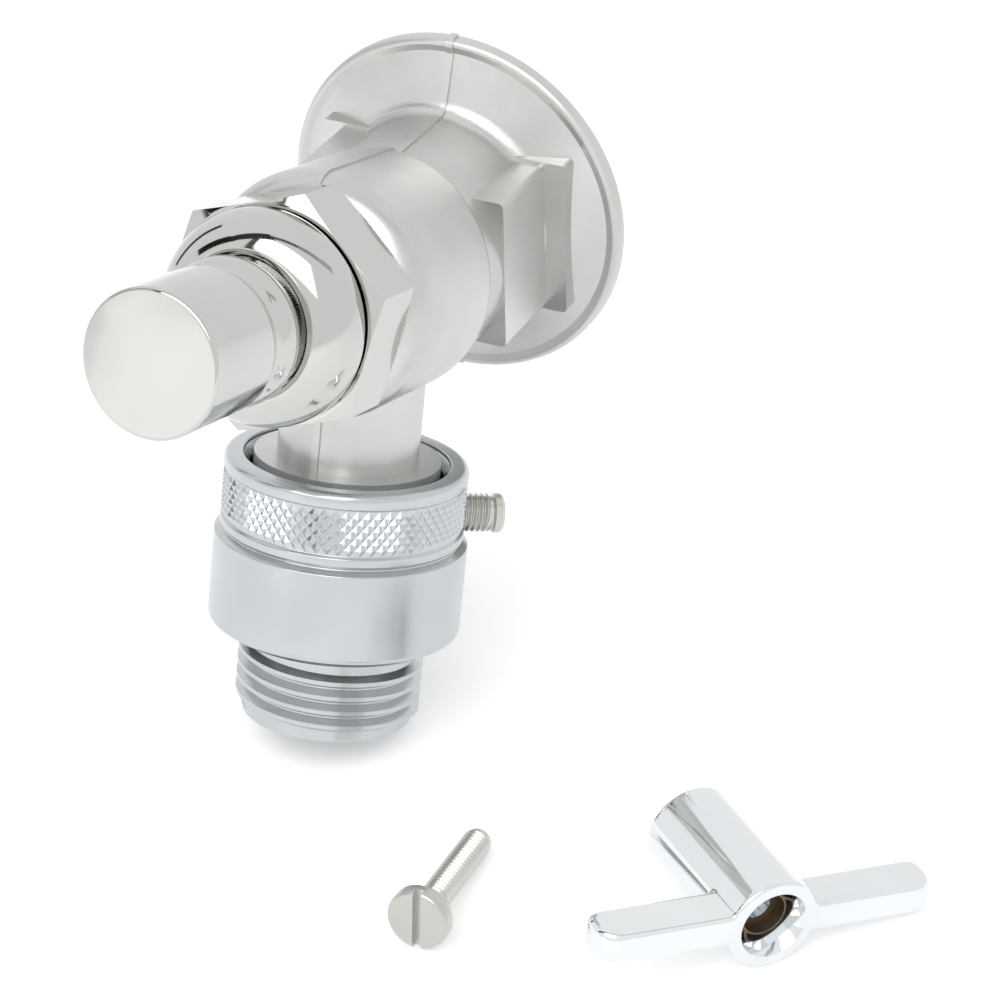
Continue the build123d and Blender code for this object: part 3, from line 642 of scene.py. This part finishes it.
@dataclass
class Bonnet:
    """Hexagonal nut, domed collar and closed cap, round the stem."""

    nut_af: float = 30.2
    nut_turn: float = 78.0
    nut_back: float = 17.5
    nut_front: float = 27.1
    nut_chamfer_r: float = 15.3
    nut_chamfer_rise: float = 1.1
    nut_edge: float = 0.35
    nut_bore_r: float = 8.7
    nut_end: float = 10.45
    nut_thread_r: float = 12.95
    recess_r: float = 12.4
    recess_floor: float = 25.0
    collar_back: float = 27.15
    collar_top: float = 34.3
    collar_bore_r: float = 8.4
    spigot_r: float = 12.3
    spigot_end: float = 25.05
    parting: float = 0.45
    rim_r: float = 14.8
    rim_rise: float = 1.45
    shoulder_r: float = 13.6
    shoulder_rise: float = 5.05
    lip_r: float = 10.4
    pocket_r: float = 9.5
    pocket_floor: float = 33.0
    cap_back: float = 33.4
    cap_front: float = 57.47
    cap_face_r: float = 9.87
    cap_bore_r: float = 8.0
    cap_wall: float = 1.57
    skirt_r: float = 9.3
    bead_r: float = 10.1
    bead_rises: tuple[float, float, float] = (2.0, 4.4, 6.8)
    waist_r: float = 9.1
    waist_rise: float = 8.0
    face_rise: float = 9.8

    def nut(self) -> Mesh:
        """Hexagon with round chamfers on both faces and softened edges."""
        back, front, chamfer, rise = self.nut_back, self.nut_front, self.nut_chamfer_r, self.nut_chamfer_rise
        corner, first = self.nut_af / sqrt(3.0), radians(self.nut_turn)
        block = prism([polar(corner, first + tau * i / 6) for i in range(6)], back, front)
        reach = chamfer + 3.0 * rise
        envelope = lathe([(0.0, back), (chamfer, back), (reach, back + rise), (reach, front - rise),
                          (chamfer, front), (0.0, front)], 192)
        block = bevelled(carved(block, envelope, "INTERSECT"), self.nut_edge, 3, 18.0)
        block = carved(block, rod(self.nut_thread_r, self.nut_end, back + 1.0, 96), "UNION")
        bore = lathe([(0.0, self.nut_end - 1.0), (self.nut_bore_r, self.nut_end - 1.0),
                      (self.nut_bore_r, self.recess_floor), (self.recess_r, self.recess_floor),
                      (self.recess_r, front + 1.0), (0.0, front + 1.0)], 96)
        return moved(carved(block, bore), STEM.place())

    def collar(self) -> Mesh:
        """Dome with a flat lip, a rounded rim over a dark parting line, and a pocket for the cap's skirt."""
        back, top, rim, lip, pocket = self.collar_back, self.collar_top, self.rim_r, self.lip_r, self.pocket_r
        ledge = back + self.parting
        dome = arc((rim, back + self.rim_rise), (self.shoulder_r, back + self.shoulder_rise), (lip, top), 28)
        profile = [(self.collar_bore_r, self.spigot_end), (self.spigot_r, self.spigot_end), (self.spigot_r, back),
                   (rim - 1.0, back), (rim - 1.0, ledge), (rim - 0.25, ledge + 0.05), (rim, ledge + 0.3), *dome,
                   (lip - 0.3, top), (pocket + 0.15, top - 0.12), (pocket, top - 0.35),
                   (pocket, self.pocket_floor), (self.collar_bore_r, self.pocket_floor)]
        return STEM.turned(profile, 200)

    def cap(self) -> Mesh:
        """Closed cap with a bead, a waist and a flat face."""
        back, front, skirt, face = self.cap_back, self.cap_front, self.skirt_r, self.cap_face_r
        low, crown, high = (back + rise for rise in self.bead_rises)
        inside = front - self.cap_wall
        profile = rounded([(0.0, inside), (self.cap_bore_r, inside), (self.cap_bore_r, back), (skirt, back, 0.25)])
        profile += arc((skirt, low), (self.bead_r, crown), (skirt, high), 14)
        profile += rounded([(skirt, high), (self.waist_r, back + self.waist_rise, 0.4),
                            (face, back + self.face_rise, 0.6), (face, front, 0.5), (0.0, front)])[1:]
        return STEM.turned(profile, 200)

    def build(self) -> None:
        """Makes the three pieces."""
        piece("hex_nut", self.nut(), MIRROR, Slot.CHROME, "bonnet_nut")
        piece("domed_collar", self.collar(), MIRROR, Slot.CHROME, "bonnet_collar")
        piece("closed_cap", self.cap(), MIRROR, Slot.CHROME, "stem_cap", body="cap")


@dataclass
class Cartridge:
    """What works inside the valve chamber."""

    flange_r: float = 12.6
    flange_start: float = 7.2
    flange_end: float = 10.35
    body_r: float = 8.6
    body_end: float = 27.1
    neck_r: float = 8.35
    nose_r: float = 7.9
    nose_root_r: float = 7.4
    nose_pitch: float = 1.0
    tip: float = 33.2
    nose_end: float = 39.0
    bore_r: float = 4.0
    chamber_r: float = 4.9
    chamber_end: float = 21.2

    def shell(self) -> Mesh:
        """Cartridge with a flange, a threaded nose and the spindle's bore."""
        root, end, bore = self.nose_root_r, self.nose_end, self.bore_r
        profile = [(self.chamber_r, self.flange_start), (self.flange_r, self.flange_start),
                   (self.flange_r, self.flange_end), (self.body_r, self.flange_end), (self.body_r, self.body_end),
                   (self.neck_r, self.body_end), (self.neck_r, self.tip), (root, self.tip), (root, end - 0.5),
                   (root - 0.5, end), (bore + 0.3, end), (bore, end - 0.3), (bore, self.chamber_end),
                   (self.chamber_r, self.chamber_end)]
        return STEM.turned(profile, 128)

    def build(self) -> None:
        """Makes the cartridge and dresses what it holds."""
        piece("cartridge_shell", self.shell(), TURNED_BRASS, Slot.BRASS, "cartridge_body")
        thread("cartridge_nose_thread", STEM, self.nose_root_r, self.nose_r - self.nose_root_r - THREAD_GAP,
               self.nose_pitch, self.tip + 0.3, self.nose_end - self.tip - 0.6, TURNED_BRASS, Slot.BRASS)
        dress(TURNED_BRASS, "seat_ring", "washer_holder", "spindle")
        dress(RUBBER, "seat_washer", "stem_o_rings")
        dress(STEEL, "washer_screw")
        dress(FIBRE, "cartridge_gasket")


@dataclass
class VacuumBreaker:
    """Knurled body, break-off screw and threaded outlet, round the outlet's axis."""

    top: float = 26.5
    outer_r: float = 17.45
    lower_r: float = 18.2
    foot_r: float = 16.0
    band_r: float = 17.1
    band_start: float = 28.9
    band_end: float = 35.6
    groove: float = 37.6
    groove_half: float = 0.6
    groove_depth: float = 0.6
    bottom: float = 52.4
    mouth_r: float = 14.8
    bore_r: float = 13.45
    inner_root_r: float = 13.9
    inner_len: float = 12.1
    web_top: float = 40.85
    web_bottom: float = 42.85
    port_r: float = 6.0
    cavity_r: float = 14.7
    ring_r: float = 15.3
    ring_top: float = 46.65
    ring_bottom: float = 47.75
    knurls: int = 70
    knurl_rows: int = 6
    knurl_sharp: float = 20.0
    screw_r: float = 2.85
    screw_root_r: float = 2.4
    screw_pitch: float = 0.8
    screw_level: float = 34.5
    screw_turn: float = 37.0
    screw_inner: float = 13.45
    screw_reach: float = 23.2
    seat_r: float = 9.4
    seat_top: float = 44.25
    outlet_flange_r: float = 14.4
    neck_r: float = 12.4
    neck_end: float = 53.1
    spout_r: float = 8.6
    spout_end: float = 65.65
    spoke_reach: float = 8.7
    spoke_half: float = 0.9
    spider_depth: float = 2.0
    hub_r: float = 3.0
    guide_r: float = 1.6
    hose_pitch: float = 2.209
    hose_start: float = 53.3
    hose_len: float = 12.3
    thread_root_r: float = 12.3
    thread_r: float = 13.49
    spring_foot: float = 53.05
    spring_keep: float = 0.64
    soft: float = 0.2

    def screw_axis(self) -> Turning:
        """Axis of the break-off screw, which runs outwards from the outlet's axis."""
        turn = radians(self.screw_turn)
        out = SIDE * cos(turn) - STEM_DIR * sin(turn)
        return Turning(CENTRE + OUTLET_DIR * self.screw_level, out, OUTLET_DIR)

    def shell(self) -> Mesh:
        """Body with a recessed band for the knurl, a groove, a turned foot and the cavity."""
        top, outer, band, cavity, soft = self.top, self.outer_r, self.band_r, self.cavity_r, self.soft
        profile = rounded([
            (outer, top, 1.3), (outer, self.band_start - 0.35, 0.25), (band, self.band_start, soft),
            (band, self.band_end, soft), (outer, self.band_end + 0.35, 0.25),
            (outer, self.groove - self.groove_half, soft), (outer - self.groove_depth, self.groove, soft),
            (self.lower_r, self.groove + self.groove_half, 0.25), (self.lower_r, self.bottom - 1.3, 0.9),
            (self.foot_r, self.bottom, 0.4), (cavity, self.bottom), (cavity, self.ring_bottom),
            (self.ring_r, self.ring_bottom), (self.ring_r, self.ring_top), (cavity, self.ring_top),
            (cavity, self.web_bottom), (self.port_r, self.web_bottom), (self.port_r, self.web_top),
            (self.inner_root_r, self.web_top), (self.inner_root_r, top + 1.9), (self.mouth_r, top + 0.5, 0.4),
            (self.mouth_r, top, 0.3)], 5)
        hole = moved(rod(self.screw_r + 0.05, 10.0, 30.0), self.screw_axis().place())
        return carved(OUTLET.turned(profile, 220), hole)

    def knurl(self) -> Mesh:
        """Diamonds round the band."""
        pitch = (self.band_end - self.band_start) / (self.knurl_rows + 1)
        mesh = run_tree("diamond_knurl", {
            "Radius": self.band_r - 0.02, "Relief": self.outer_r - self.band_r, "Start": self.band_start + pitch,
            "Row Pitch": pitch, "Around": self.knurls, "Rows": self.knurl_rows, "Material": KNURLED.build()})
        return moved(mesh, OUTLET.place())

    def break_off(self) -> Mesh:
        """Core of the set screw, with its chamfered broken end."""
        end, root, crest = self.screw_reach, self.screw_root_r, self.screw_r
        profile = [(0.0, self.screw_inner), (root, self.screw_inner), (root, end - 1.6), (crest, end - 1.3),
                   (crest, end - 0.4), (crest - 0.4, end), (0.0, end - 0.1)]
        return self.screw_axis().turned(profile, 64)

    def outlet(self) -> Mesh:
        """Outlet with a flange above, a neck, a threaded skirt and the spider that guides the poppet."""
        flange, neck, root, end = self.outlet_flange_r, self.neck_r, self.thread_root_r, self.spout_end
        ledge, spider_end, soft = self.spring_foot, self.spring_foot + self.spider_depth, self.soft
        profile = rounded([
            (self.seat_r, self.seat_top), (flange, self.seat_top, soft), (flange, self.ring_top, soft),
            (neck, self.ring_top, soft), (neck, self.neck_end, soft), (root, self.neck_end + 0.3),
            (root, end - 0.3, soft), (root - 0.3, end, 0.1), (self.spout_r, end, 0.4), (self.spout_r, ledge),
            (self.seat_r, ledge)], 4)
        hub = rod(self.hub_r, ledge, spider_end)
        for i in range(3):
            spoke = slab(0.0, self.spoke_reach, self.spoke_half, ledge, spider_end)
            hub = carved(hub, moved(spoke, Matrix.Rotation(tau * i / 3, 4, "Z")), "UNION")
        hub = carved(hub, rod(self.guide_r, 50.0, 58.0))
        return moved(joined(lathe(profile, 160), hub), OUTLET.place())

    def build(self) -> None:
        """Makes the breaker's pieces and dresses those inside it."""
        piece("breaker_shell", self.shell(), GRAINED, Slot.CHROME, "breaker_body")
        piece("breaker_knurl", self.knurl(), KNURLED, Slot.CHROME, sharp=self.knurl_sharp)
        thread("breaker_inner_thread", OUTLET, self.inner_root_r, self.inner_root_r - self.bore_r - 0.08,
               self.hose_pitch, self.top + 2.0, self.inner_len, GRAINED, Slot.CHROME, inward=True)
        piece("break_off_core", self.break_off(), STEEL, Slot.STEEL, "break_off_screw")
        thread("break_off_thread", self.screw_axis(), self.screw_root_r, self.screw_r - self.screw_root_r - 0.02,
               self.screw_pitch, self.screw_inner + 0.2, self.screw_reach - self.screw_inner - 1.6, STEEL,
               Slot.STEEL, steps=40)
        piece("hose_outlet", self.outlet(), GRAINED, Slot.CHROME, "breaker_outlet")
        thread("hose_outlet_thread", OUTLET, self.thread_root_r, self.thread_r - self.thread_root_r - THREAD_GAP,
               self.hose_pitch, self.hose_start, self.hose_len, GRAINED, Slot.CHROME, crest=0.28, steps=96)
        dress(RUBBER, "hose_washer", "breaker_seal")
        dress(STEEL, "breaker_snap_ring")
        dress(ACETAL, "breaker_poppet")
        coil = moved(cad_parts["breaker_spring"].data.copy(), Matrix.Scale(1.0 / MM, 4))
        spring = piece("poppet_spring", coil, STEEL, Slot.STEEL, "breaker_spring")
        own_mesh(spring)


@dataclass
class LooseKey:
    """T-shaped key that fits the spindle's splined end."""

    front: Point = (79.0, -69.0)
    turn: float = 51.3
    sleeve_r: float = 6.7
    sleeve_len: float = 23.4
    span: float = 51.0
    arm_t: float = 4.9
    arm_depth: float = 6.6
    arm_edge: float = 1.2
    arm_front_round: float = 4.2
    arm_back_round: float = 2.0
    recess_r: float = 4.65
    recess_depth: float = 5.0
    throat_r: float = 3.3
    throat_start: float = 2.6
    throat_wall: float = 0.18
    hole_r: float = 2.22
    socket_r: float = 4.05
    socket_depth: float = 12.0
    spline_len: float = 5.0
    relief_r: float = 4.5
    splines: int = 12
    spline: float = 0.212
    spline_steps: int = 3
    skin_voxel: float = 0.24
    skin_passes: int = 8

    def turning(self) -> Turning:
        """Axis of the sleeve, from its back end to its front."""
        corner = (self.span / 2.0 - self.arm_edge, self.arm_t / 2.0 - self.arm_edge)
        roll = asin((self.sleeve_r - self.arm_edge) / hypot(*corner)) - atan2(corner[1], corner[0])
        arm = aimed(self.turn + 90.0, 0.0) * cos(roll) - UP * sin(roll)
        return Turning(Vector((*self.front, FLOOR_Z + self.sleeve_r)), aimed(self.turn, 0.0), arm)

    def arms(self) -> Mesh:
        """Crossbar with rounded ends, in the key's own frame."""
        half = self.span / 2.0
        corners = [(-half, 0.0, self.arm_front_round), (half, 0.0, self.arm_front_round),
                   (half, -self.arm_depth, self.arm_back_round), (-half, -self.arm_depth, self.arm_back_round)]
        bar = prism(rounded(corners, 8), -self.arm_t / 2.0, self.arm_t / 2.0)
        return bevelled(moved(bar, Matrix.Rotation(pi / 2.0, 4, "X")), self.arm_edge, 5, 60.0)

    def handle(self) -> Mesh:
        """Sleeve and crossbar in one skin, with the bores cut afterwards."""
        back, shelf = -self.sleeve_len, self.socket_depth - self.sleeve_len
        recess, throat, hole, relief = self.recess_r, self.throat_r, self.hole_r, self.relief_r
        mouth = back + self.spline_len
        sleeve = lathe(rounded([(0.0, back), (self.sleeve_r, back, 0.3), (self.sleeve_r, 0.0, 0.5), (0.0, 0.0)], 4), 96)
        skin = cast(joined(sleeve, self.arms()), self.skin_voxel, self.skin_passes)
        bore = lathe([(0.0, 1.0), (recess + 0.3, 1.0), (recess + 0.3, 0.0), (recess, -0.4),
                      (throat, -self.throat_start), (throat, -self.recess_depth), (hole, -self.recess_depth),
                      (hole, shelf), (relief, shelf), (relief, mouth), (0.0, mouth)], 96)
        socket = prism(self.socket_outline(), back - 1.0, mouth + 0.05)
        return moved(carved(carved(skin, bore), socket), self.turning().place())

    def socket_outline(self) -> Outline:
        """Round socket with pointed teeth that reach inwards."""
        steps = self.spline_steps
        return [polar(self.socket_r - (0.0 if step else self.spline),
                      tau * tooth / self.splines + step * pi / self.splines / (steps + 0.5))
                for tooth in range(self.splines) for step in range(-steps, steps + 1)]

    def throat(self) -> Mesh:
        """Unplated brass wall and floor of the recess, coloured much darker than the brass as painted shade."""
        outer, start, floor = self.throat_r - 0.02, -self.throat_start - 0.2, 0.15 - self.recess_depth
        inner = outer - self.throat_wall
        profile = [(outer, start), (inner, start), (inner, floor), (self.hole_r, floor), (self.hole_r, floor - 0.13),
                   (outer, floor - 0.13)]
        return self.turning().turned(profile, 64)

    def build(self) -> None:
        """Makes the key and its throat."""
        piece("tee_key", self.handle(), BRIGHT, Slot.CHROME, "t_handle", body="key")
        piece("tee_key_throat", self.throat(), SHADE_DARKENED_BRASS, Slot.BRASS, body="key")


@dataclass
class KeyScrew:
    """Slotted screw that holds the key on the spindle."""

    place_at: Point = (34.72, -85.7)
    turn: float = 4.2
    head_r: float = 4.39
    head_t: float = 2.3
    shank_r: float = 2.12
    root_r: float = 1.8
    length: float = 22.4
    thread_len: float = 17.0
    slot_w: float = 1.2
    slot_half: float = 6.0
    slot_depth: float = 1.2
    pitch: float = 0.8

    def turning(self) -> Turning:
        """Axis of the screw, from its tip to its head's face, which is at height zero."""
        lean = asin((self.head_r - self.shank_r) / (self.length - self.head_t))
        front = aimed(self.turn, 0.0) * cos(lean) + UP * sin(lean)
        rise = self.head_r * cos(lean) + self.head_t * sin(lean)
        return Turning(Vector((*self.place_at, FLOOR_Z + rise)), front, aimed(self.turn + 90.0, 0.0))

    def core(self) -> Mesh:
        """Head and shank without the thread."""
        tip, root, shank, head = -self.length, self.root_r, self.shank_r, self.head_r
        profile = rounded([(0.0, tip), (root, tip, 0.3), (root, tip + self.thread_len),
                           (shank, tip + self.thread_len + 0.2), (shank, -self.head_t), (head, -self.head_t, 0.25),
                           (head, 0.0, 0.6), (0.0, 0.0)])
        slot = slab(-self.slot_w / 2.0, self.slot_w / 2.0, self.slot_half, -self.slot_depth, 1.0)
        return moved(carved(lathe(profile, 96), slot), self.turning().place())

    def build(self) -> None:
        """Makes the screw and its thread."""
        piece("slotted_screw", self.core(), STEEL, Slot.STEEL, "handle_screw", body="key_screw")
        thread("slotted_screw_thread", self.turning(), self.root_r, self.shank_r - self.root_r, self.pitch,
               0.3 - self.length, self.thread_len - 0.2, STEEL, Slot.STEEL, body="key_screw", steps=40)


@dataclass(frozen=True)
class Card:
    """A strip that only reflections see, from one direction to another.

    Attributes:
        start: Azimuth and elevation of one end, in degrees.
        end: Azimuth and elevation of the other.
        width: Width, in metres.
        grey: How bright it is.
        distance: How far it stands off, in metres.
    """

    start: Point
    end: Point
    width: float
    grey: float
    distance: float = 0.9

    def corners(self) -> list[Vector]:
        """Corners of the flat strip between its two ends, facing the object."""
        centre = CENTRE * MM
        first, last = aimed(*self.start) * self.distance, aimed(*self.end) * self.distance
        across = first.cross(last).normalized() * self.width / 2.0
        return [centre + first - across, centre + last - across, centre + last + across, centre + first + across]


def seen(tree: Tree) -> Socket:
    """One for the camera's rays and for reflections, zero for all others."""
    path = put(tree, "ShaderNodeLightPath")
    return maths(tree, "MAXIMUM", path.outputs["Is Camera Ray"], path.outputs["Is Glossy Ray"])


def sheet(name: str, corners: list[Vector], grey: float, glow: float, seen_only: bool) -> Object:
    """Makes a flat, matte part of the stage, in metres, that shines white for all rays or for those seen() names."""
    material = bpy.data.materials.new(name)
    material.use_nodes = True
    tree = material.node_tree
    strength = maths(tree, "MULTIPLY", seen(tree), glow) if seen_only else glow
    looks = {"Base Color": (grey, grey, grey, 1.0), "Roughness": 0.9, "Specular IOR Level": 0.0,
             "Emission Color": WHITE, "Emission Strength": strength}
    for label, value in looks.items():
        feed(tree, tree.nodes["Principled BSDF"].inputs[label], value)
    mesh = bpy.data.meshes.new(name)
    mesh.from_pydata([tuple(corner) for corner in corners], [], [(0, 1, 2, 3)])
    mesh.materials.append(material)
    obj = placed(name, mesh)
    return obj


@dataclass
class Studio:
    """Floor, world, lamp, reflection cards and camera."""

    azimuth: float = 26.54
    elevation: float = 32.28
    roll: float = -1.16
    distance: float = 478.99
    shift: Point = (5.89, -43.96)
    focal_px: float = 3262.08
    image_px: float = 1000.0
    sensor_mm: float = 36.0
    clip_start: float = 0.01
    floor_half: float = 4.0
    floor_gap: float = 0.0001
    floor_grey: float = 0.9
    floor_glow: float = 0.33
    world_level: float = 0.72
    softbox_aim: Point = (2.0, 48.0)
    softbox_size: Point = (0.95, 0.68)
    softbox_power: float = 4.5
    cards: tuple[Card, ...] = (
        Card((-59.0, 17.0), (-50.0, 38.0), 0.20, 0.02), Card((-50.0, 36.0), (-33.0, 70.0), 0.16, 0.04),
        Card((-28.0, 22.0), (-40.0, 58.0), 0.06, 0.06), Card((-33.0, 70.0), (60.0, 76.0), 0.08, 0.12),
        Card((60.0, 76.0), (98.0, 58.0), 0.10, 0.4), Card((98.0, 58.0), (112.0, 40.0), 0.12, 0.55),
        Card((-28.0, -3.0), (-13.0, -3.0), 0.07, 1.43, 0.6),
        Card((-89.0, 2.0), (-99.0, 36.0), 0.11, 0.05))

    def camera(self) -> None:
        """Camera at the photograph's viewing angle."""
        back, right = aimed(self.azimuth, self.elevation), aimed(self.azimuth + 90.0, 0.0)
        cosine, sine = polar(1.0, radians(self.roll))
        above = back.cross(right)
        right, above = right * cosine + above * sine, above * cosine - right * sine
        where = back * self.distance + right * self.shift[0] + above * self.shift[1]
        data = bpy.data.cameras.new("camera")
        data.sensor_width = self.sensor_mm
        data.lens = self.focal_px * self.sensor_mm / self.image_px
        data.clip_start = self.clip_start
        obj = placed("camera", data)
        obj.matrix_world = Matrix.Translation(where * MM) @ Matrix((right, above, back)).transposed().to_4x4()
        bpy.context.scene.camera = obj

    def floor(self) -> None:
        """Pale floor that the outlet and the loose pieces stand on, white to the camera and to reflections."""
        half, height = self.floor_half, FLOOR_Z * MM - self.floor_gap
        corners = [Vector((x, y, height)) for x, y in ((-half, -half), (half, -half), (half, half), (-half, half))]
        sheet("floor", corners, self.floor_grey, self.floor_glow, True)

    def world(self) -> None:
        """White world to the camera and to reflections, and a plain level of light."""
        world = bpy.data.worlds.new("world")
        bpy.context.scene.world = world
        world.use_nodes = True
        tree = world.node_tree
        strength = maths(tree, "MULTIPLY_ADD", seen(tree), 1.0 - self.world_level, self.world_level)
        feed(tree, tree.nodes["Background"].inputs["Color"], WHITE)
        feed(tree, tree.nodes["Background"].inputs["Strength"], strength)

    def reflections(self) -> None:
        """Strips that only reflections see."""
        for number, card in enumerate(self.cards):
            obj = sheet(f"card_{number}", card.corners(), 0.0, card.grey, False)
            obj.visible_camera = obj.visible_diffuse = obj.visible_shadow = obj.visible_transmission = False

    def softbox(self) -> None:
        """Soft lamp that faces the object, at arm's length."""
        data = bpy.data.lights.new("softbox", "AREA")
        data.shape = "RECTANGLE"
        data.size, data.size_y = self.softbox_size
        data.energy = self.softbox_power
        out = aimed(*self.softbox_aim)
        turn = out.to_track_quat("Z", "Y").to_matrix().to_4x4()
        placed("softbox", data).matrix_world = Matrix.Translation(CENTRE * MM + out) @ turn

    def build(self) -> None:
        """Sets up the studio."""
        bpy.context.scene.view_settings.view_transform = "Standard"
        self.world()
        self.floor()
        self.reflections()
        self.softbox()
        self.camera()


def main() -> None:
    """Builds every sub-assembly in order."""
    logging.basicConfig(level=logging.INFO, format="%(name)s: %(message)s")
    for group in (relief_group, handling_group, tone_group, thread_tree, knurl_tree):
        group()
    for assembly in (ValveBody(), Bonnet(), Cartridge(), VacuumBreaker(), LooseKey(), KeyScrew(), Studio()):
        LOG.info("building %s", type(assembly).__name__)
        assembly.build()


if __name__ == "__main__":
    main()
